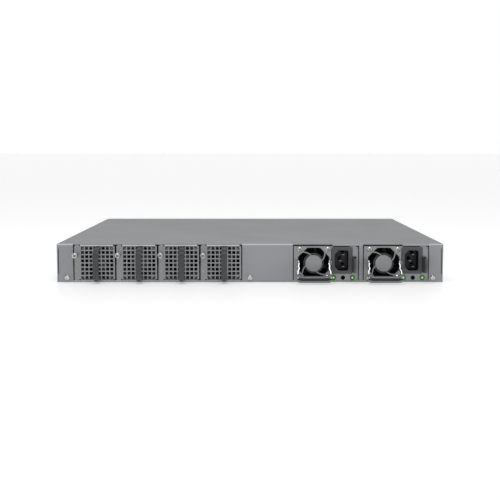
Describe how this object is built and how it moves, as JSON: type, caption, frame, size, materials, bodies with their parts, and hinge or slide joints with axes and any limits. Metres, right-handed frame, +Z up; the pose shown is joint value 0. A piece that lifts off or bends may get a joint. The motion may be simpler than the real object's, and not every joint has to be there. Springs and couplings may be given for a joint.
{
  "type": "rackmount network switch",
  "caption": "One-unit rack network switch with hot-swap fan modules, plug-in power supplies with inlets and bail handles, and pluggable transceiver ports.",
  "frame": {"origin": "the middle of the footprint, handles included, on the surface that the switch lies on", "axes": "+Z up; -Y out of the side with the fan modules and the power supplies; +Y out of the port side; +X to the right seen from the fan side"},
  "size_m": [0.442, 0.42, 0.044],
  "materials": {
    "painted_steel": "satin grey paint on sheet steel",
    "zinc_sheet": "galvanised sheet steel, satin",
    "nickel_cage": "nickel-plated pressed sheet",
    "nickel_steel": "nickel-plated turned steel",
    "bright_steel": "satin plated steel strip",
    "dark_plastic": "fine-textured moulded plastic",
    "black_plastic": "moulded glass-filled plastic",
    "green_lamp": "clear green light pipe",
    "circuit_board": "solder-masked laminate",
    "aluminium_fins": "extruded, as machined"
  },
  "bodies": {
    "chassis": {"chassis_tray": "painted_steel", "top_cover": "painted_steel", "rear_panel": "painted_steel", "front_panel": "painted_steel", "main_board": "circuit_board", "fan_board": "circuit_board", "switch_heat_sink": "aluminium_fins", "fan_bay_guide": "zinc_sheet", "psu_bay_cage": "zinc_sheet", "sfp_cage_left": "nickel_cage", "sfp_cage_right": "nickel_cage", "qsfp_cage": "nickel_cage", "management_jack": "black_plastic", "rear_screw_left": "nickel_steel", "rear_screw_middle": "nickel_steel", "rear_screw_right": "nickel_steel"},
    "fan_module_1": {"fan_tray_1": "painted_steel", "fan_handle_1": "dark_plastic", "fan_frame_1": "black_plastic", "fan_lamp_1": "green_lamp"},
    "fan_wheel_1": {"fan_rotor_1": "black_plastic"},
    "fan_knob_1": {"fan_screw_1": "nickel_steel"},
    "fan_module_2": {"fan_tray_2": "painted_steel", "fan_handle_2": "dark_plastic", "fan_frame_2": "black_plastic", "fan_lamp_2": "green_lamp"},
    "fan_wheel_2": {"fan_rotor_2": "black_plastic"},
    "fan_knob_2": {"fan_screw_2": "nickel_steel"},
    "fan_module_3": {"fan_tray_3": "painted_steel", "fan_handle_3": "dark_plastic", "fan_frame_3": "black_plastic", "fan_lamp_3": "green_lamp"},
    "fan_wheel_3": {"fan_rotor_3": "black_plastic"},
    "fan_knob_3": {"fan_screw_3": "nickel_steel"},
    "fan_module_4": {"fan_tray_4": "painted_steel", "fan_handle_4": "dark_plastic", "fan_frame_4": "black_plastic", "fan_lamp_4": "green_lamp"},
    "fan_wheel_4": {"fan_rotor_4": "black_plastic"},
    "fan_knob_4": {"fan_screw_4": "nickel_steel"},
    "power_supply_1": {"psu_case_1": "zinc_sheet", "psu_guard_1": "zinc_sheet", "psu_fan_frame_1": "black_plastic", "psu_inlet_1": "black_plastic", "psu_lamp_left_1": "green_lamp", "psu_lamp_right_1": "green_lamp", "psu_card_edge_1": "circuit_board"},
    "psu_fan_wheel_1": {"psu_fan_rotor_1": "black_plastic"},
    "psu_bail_1": {"psu_handle_1": "bright_steel"},
    "psu_catch_1": {"psu_latch_1": "dark_plastic"},
    "power_supply_2": {"psu_case_2": "zinc_sheet", "psu_guard_2": "zinc_sheet", "psu_fan_frame_2": "black_plastic", "psu_inlet_2": "black_plastic", "psu_lamp_left_2": "green_lamp", "psu_lamp_right_2": "green_lamp", "psu_card_edge_2": "circuit_board"},
    "psu_fan_wheel_2": {"psu_fan_rotor_2": "black_plastic"},
    "psu_bail_2": {"psu_handle_2": "bright_steel"},
    "psu_catch_2": {"psu_latch_2": "dark_plastic"}
  },
  "joints": [
    {"name": "fan_module_1_slide", "type": "slide", "parent": "chassis", "child": "fan_module_1", "axis": [0, -1, 0], "range_m": [0, 0.078]},
    {"name": "fan_wheel_1_spin", "type": "hinge", "parent": "fan_module_1", "child": "fan_wheel_1", "pos_m": [-0.17415, -0.173, 0.02255], "axis": [0, -1, 0], "continuous": true},
    {"name": "fan_knob_1_turn", "type": "hinge", "parent": "fan_module_1", "child": "fan_knob_1", "pos_m": [-0.19765, -0.19, 0.0325], "axis": [0, 1, 0], "range_deg": [0, 1440]},
    {"name": "fan_module_2_slide", "type": "slide", "parent": "chassis", "child": "fan_module_2", "axis": [0, -1, 0], "range_m": [0, 0.078]},
    {"name": "fan_wheel_2_spin", "type": "hinge", "parent": "fan_module_2", "child": "fan_wheel_2", "pos_m": [-0.12595, -0.173, 0.02255], "axis": [0, -1, 0], "continuous": true},
    {"name": "fan_knob_2_turn", "type": "hinge", "parent": "fan_module_2", "child": "fan_knob_2", "pos_m": [-0.14945, -0.19, 0.0325], "axis": [0, 1, 0], "range_deg": [0, 1440]},
    {"name": "fan_module_3_slide", "type": "slide", "parent": "chassis", "child": "fan_module_3", "axis": [0, -1, 0], "range_m": [0, 0.078]},
    {"name": "fan_wheel_3_spin", "type": "hinge", "parent": "fan_module_3", "child": "fan_wheel_3", "pos_m": [-0.07775, -0.173, 0.02255], "axis": [0, -1, 0], "continuous": true},
    {"name": "fan_knob_3_turn", "type": "hinge", "parent": "fan_module_3", "child": "fan_knob_3", "pos_m": [-0.10125, -0.19, 0.0325], "axis": [0, 1, 0], "range_deg": [0, 1440]},
    {"name": "fan_module_4_slide", "type": "slide", "parent": "chassis", "child": "fan_module_4", "axis": [0, -1, 0], "range_m": [0, 0.078]},
    {"name": "fan_wheel_4_spin", "type": "hinge", "parent": "fan_module_4", "child": "fan_wheel_4", "pos_m": [-0.02955, -0.173, 0.02255], "axis": [0, -1, 0], "continuous": true},
    {"name": "fan_knob_4_turn", "type": "hinge", "parent": "fan_module_4", "child": "fan_knob_4", "pos_m": [-0.05305, -0.19, 0.0325], "axis": [0, 1, 0], "range_deg": [0, 1440]},
    {"name": "power_supply_1_slide", "type": "slide", "parent": "chassis", "child": "power_supply_1", "axis": [0, -1, 0], "range_m": [0, 0.2]},
    {"name": "psu_fan_wheel_1_spin", "type": "hinge", "parent": "power_supply_1", "child": "psu_fan_wheel_1", "pos_m": [0.0728, -0.175, 0.0219], "axis": [0, -1, 0], "continuous": true},
    {"name": "psu_bail_1_swing", "type": "hinge", "parent": "power_supply_1", "child": "psu_bail_1", "pos_m": [0.0728, -0.1943, 0.023], "axis": [-1, 0, 0], "range_deg": [0, 95]},
    {"name": "psu_catch_1_press", "type": "hinge", "parent": "power_supply_1", "child": "psu_catch_1", "pos_m": [0.1192, -0.165, 0.0206], "axis": [0, 0, -1], "range_deg": [0, 3.2], "stiffness_Nm_per_rad": 0.4},
    {"name": "power_supply_2_slide", "type": "slide", "parent": "chassis", "child": "power_supply_2", "axis": [0, -1, 0], "range_m": [0, 0.2]},
    {"name": "psu_fan_wheel_2_spin", "type": "hinge", "parent": "power_supply_2", "child": "psu_fan_wheel_2", "pos_m": [0.1529, -0.175, 0.0219], "axis": [0, -1, 0], "continuous": true},
    {"name": "psu_bail_2_swing", "type": "hinge", "parent": "power_supply_2", "child": "psu_bail_2", "pos_m": [0.1529, -0.1943, 0.023], "axis": [-1, 0, 0], "range_deg": [0, 95]},
    {"name": "psu_catch_2_press", "type": "hinge", "parent": "power_supply_2", "child": "psu_catch_2", "pos_m": [0.1993, -0.165, 0.0206], "axis": [0, 0, -1], "range_deg": [0, 3.2], "stiffness_Nm_per_rad": 0.4}
  ]
}
